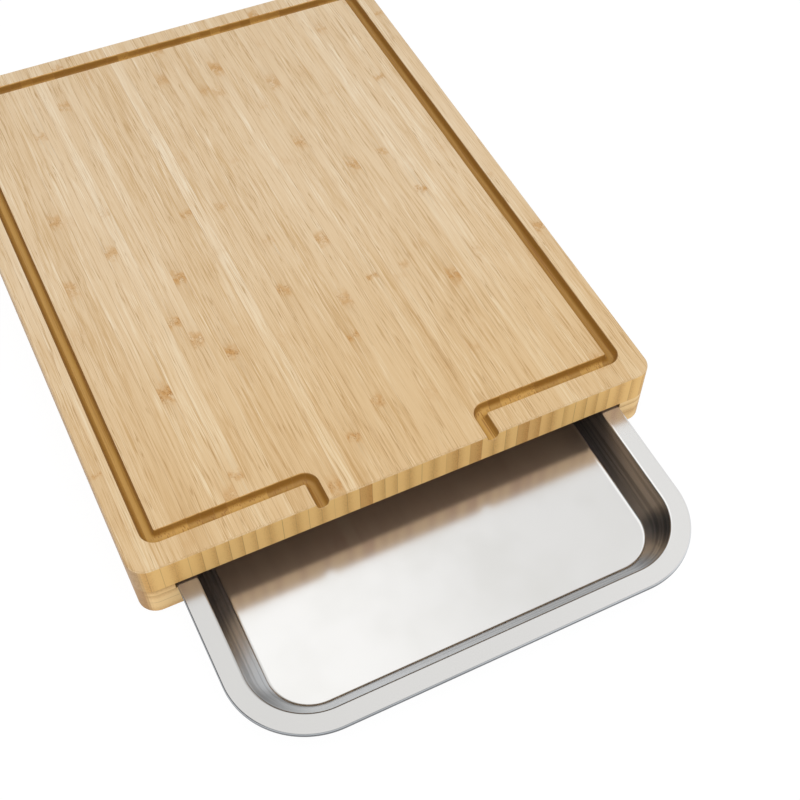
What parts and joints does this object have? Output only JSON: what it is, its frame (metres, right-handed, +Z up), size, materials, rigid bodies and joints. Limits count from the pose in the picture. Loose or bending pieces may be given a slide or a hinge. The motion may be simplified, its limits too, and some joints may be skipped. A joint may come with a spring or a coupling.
{
  "type": "cutting board with tray",
  "caption": "Bamboo cutting board with a juice groove drained at its front edge, on a U-shaped frame that carries a pressed steel tray sliding out to the front.",
  "frame": {"origin": "centre of the bounding box of the whole object, tray pulled out, at the level it rests on", "axes": "+X along the front edge to the right, +Y from the front to the back, +Z up"},
  "size_m": [0.3, 0.4966, 0.04],
  "materials": {
    "bamboo_upright": "oiled bamboo, upright strips",
    "bamboo_flat": "oiled bamboo, flat strips",
    "steel": "satin pressed stainless steel"
  },
  "bodies": {
    "board": {"top_strip_01": "bamboo_upright", "top_strip_02": "bamboo_upright", "top_strip_03": "bamboo_upright", "top_strip_04": "bamboo_upright", "top_strip_05": "bamboo_upright", "top_strip_06": "bamboo_upright", "top_strip_07": "bamboo_upright", "top_strip_08": "bamboo_upright", "top_strip_09": "bamboo_upright", "top_strip_10": "bamboo_upright", "top_strip_11": "bamboo_upright", "top_strip_12": "bamboo_upright", "top_strip_13": "bamboo_upright", "top_strip_14": "bamboo_upright", "top_strip_15": "bamboo_upright", "top_strip_16": "bamboo_upright", "top_strip_17": "bamboo_upright", "top_strip_18": "bamboo_upright", "top_strip_19": "bamboo_upright", "top_strip_20": "bamboo_upright", "top_strip_21": "bamboo_upright", "top_strip_22": "bamboo_upright", "top_strip_23": "bamboo_upright", "top_strip_24": "bamboo_upright", "top_strip_25": "bamboo_upright", "top_strip_26": "bamboo_upright", "top_strip_27": "bamboo_upright", "top_strip_28": "bamboo_upright", "top_strip_29": "bamboo_upright", "top_strip_30": "bamboo_upright", "top_strip_31": "bamboo_upright", "top_strip_32": "bamboo_upright", "top_strip_33": "bamboo_upright", "top_strip_34": "bamboo_upright", "top_strip_35": "bamboo_upright", "top_strip_36": "bamboo_upright", "top_strip_37": "bamboo_upright", "top_strip_38": "bamboo_upright", "top_strip_39": "bamboo_upright", "top_strip_40": "bamboo_upright", "top_strip_41": "bamboo_upright", "top_strip_42": "bamboo_upright", "left_spacer": "bamboo_flat", "right_spacer": "bamboo_flat", "back_spacer": "bamboo_flat", "left_upper_rail": "bamboo_flat", "right_upper_rail": "bamboo_flat", "back_upper_rail": "bamboo_flat", "left_lower_rail": "bamboo_flat", "right_lower_rail": "bamboo_flat", "back_lower_rail": "bamboo_flat"},
    "tray": {"tray": "steel"}
  },
  "joints": [
    {"name": "tray_slide", "type": "slide", "parent": "board", "child": "tray", "axis": [0, -1, 0], "range_m": [-0.1066, 0.29]}
  ]
}
